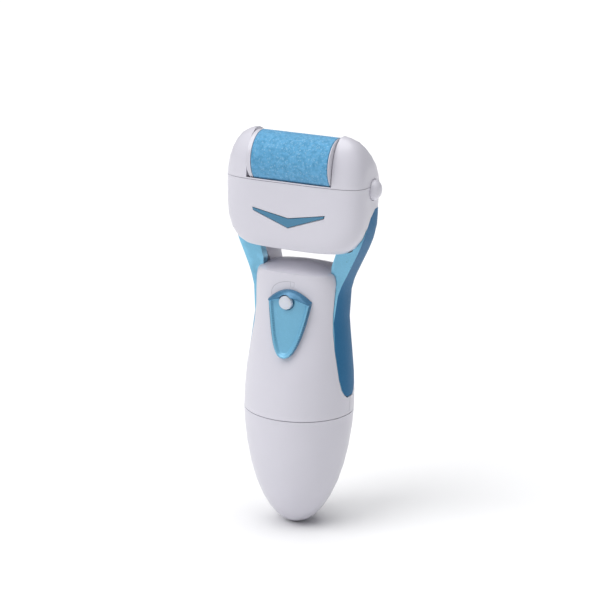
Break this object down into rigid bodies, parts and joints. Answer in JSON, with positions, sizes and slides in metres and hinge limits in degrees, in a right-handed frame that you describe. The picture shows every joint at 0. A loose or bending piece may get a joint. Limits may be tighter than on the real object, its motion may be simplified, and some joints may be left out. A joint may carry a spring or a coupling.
{
  "type": "electric callus remover",
  "caption": "Battery powered foot file: a rounded handle with a thumb slide switch, a forked neck and a head that drives a removable abrasive roller, with a twist-off battery cap.",
  "frame": {"origin": "on the handle's axis, in the middle of the grip", "axes": "+Z along the handle from the battery cap to the roller, -Y out of the front with the slide switch, +X to the side with the roller release button"},
  "size_m": [0.0678, 0.0484, 0.1773],
  "materials": {
    "white_shell": "satin gloss moulded plastic, cool white",
    "blue_grip": "metallic pearl blue moulded plastic",
    "abrasive": "rough mineral grit on a sleeve, matte blue",
    "cell": null,
    "steel": "plated steel",
    "motor_steel": "plated motor can",
    "brass": "turned brass",
    "terminal_brass": "tinned tab",
    "gear_plastic": "natural acetal",
    "inner_plastic": "grey moulded plastic",
    "seal_rubber": "black rubber ring"
  },
  "bodies": {
    "housing": {"handle_front_shell": "white_shell", "back_shell": "white_shell", "left_side_grip": "blue_grip", "right_side_grip": "blue_grip", "head_housing": "white_shell", "head_back_cover": "white_shell", "roller_cradle": "white_shell", "chevron_inlay": "blue_grip", "battery_holder": "inner_plastic", "cap_seal": "seal_rubber", "battery_cell_left": "cell", "battery_cell_right": "cell", "positive_contact": "steel", "negative_contact": "steel", "slide_switch": "inner_plastic", "switch_terminal_low": "terminal_brass", "switch_terminal_mid": "terminal_brass", "switch_terminal_high": "terminal_brass", "gear_plate": "steel", "motor_can": "motor_steel", "motor_end_bell": "inner_plastic", "motor_terminal_upper": "terminal_brass", "motor_terminal_lower": "terminal_brass", "idler_axle": "steel", "drive_bush": "brass", "handle_screw_lower": "steel", "handle_screw_upper": "steel", "head_screw_1": "steel", "head_screw_2": "steel"},
    "battery_cap": {"battery_cap": "white_shell", "cap_contact_bridge": "steel", "cell_spring_left": "steel", "cell_spring_right": "steel"},
    "roller": {"abrasive_sleeve": "abrasive", "roller_core": "white_shell", "roller_end_cap": "white_shell", "drive_shaft": "steel", "roller_gear": "gear_plastic"},
    "idler": {"idler_gear": "gear_plastic"},
    "motor_rotor": {"motor_pinion": "brass", "motor_shaft": "steel"},
    "switch": {"switch_slider": "blue_grip", "switch_carriage": "inner_plastic", "switch_lever": "inner_plastic"},
    "lock_button": {"lock_button": "white_shell"},
    "release_button": {"release_button": "white_shell", "release_spring": "steel"},
    "release_lever": {"release_lever": "inner_plastic"},
    "bearing_pin": {"bearing_pin": "steel", "pin_spring": "steel"}
  },
  "joints": [
    {"name": "cap_twist", "type": "hinge", "parent": "housing", "child": "battery_cap", "pos_m": [0, 0, -0.026], "axis": [0, 0, 1], "range_deg": [0, 40]},
    {"name": "roller_spin", "type": "hinge", "parent": "housing", "child": "roller", "pos_m": [0, -0.0088, 0.086], "axis": [1, 0, 0], "continuous": true},
    {"name": "idler_spin", "type": "hinge", "parent": "housing", "child": "idler", "pos_m": [-0.0233, -0.00239, 0.07299], "axis": [1, 0, 0], "continuous": true},
    {"name": "motor_spin", "type": "hinge", "parent": "housing", "child": "motor_rotor", "pos_m": [0, -0.002, 0.06], "axis": [1, 0, 0], "continuous": true},
    {"name": "switch_slide", "type": "slide", "parent": "housing", "child": "switch", "axis": [0, 0, 1], "range_m": [0, 0.004]},
    {"name": "lock_press", "type": "slide", "parent": "switch", "child": "lock_button", "axis": [0, 1, 0], "range_m": [0, 0.0009], "stiffness_N_per_m": 300},
    {"name": "release_press", "type": "slide", "parent": "housing", "child": "release_button", "axis": [-1, 0, 0], "range_m": [0, 0.002], "stiffness_N_per_m": 400},
    {"name": "lever_rock", "type": "hinge", "parent": "housing", "child": "release_lever", "pos_m": [0.0223, -0.0048, 0.0805], "axis": [0, 0.8087, 0.5882], "range_deg": [0, 18]},
    {"name": "pin_draw", "type": "slide", "parent": "housing", "child": "bearing_pin", "axis": [1, 0, 0], "range_m": [0, 0.0021]}
  ],
  "couplings": [
    {"joint": "idler_spin", "follows": "roller_spin", "ratio": -0.38095},
    {"joint": "motor_spin", "follows": "roller_spin", "ratio": 1.6},
    {"joint": "lever_rock", "follows": "release_press", "rad_per_m": 147.04},
    {"joint": "pin_draw", "follows": "release_press", "ratio": 1}
  ]
}
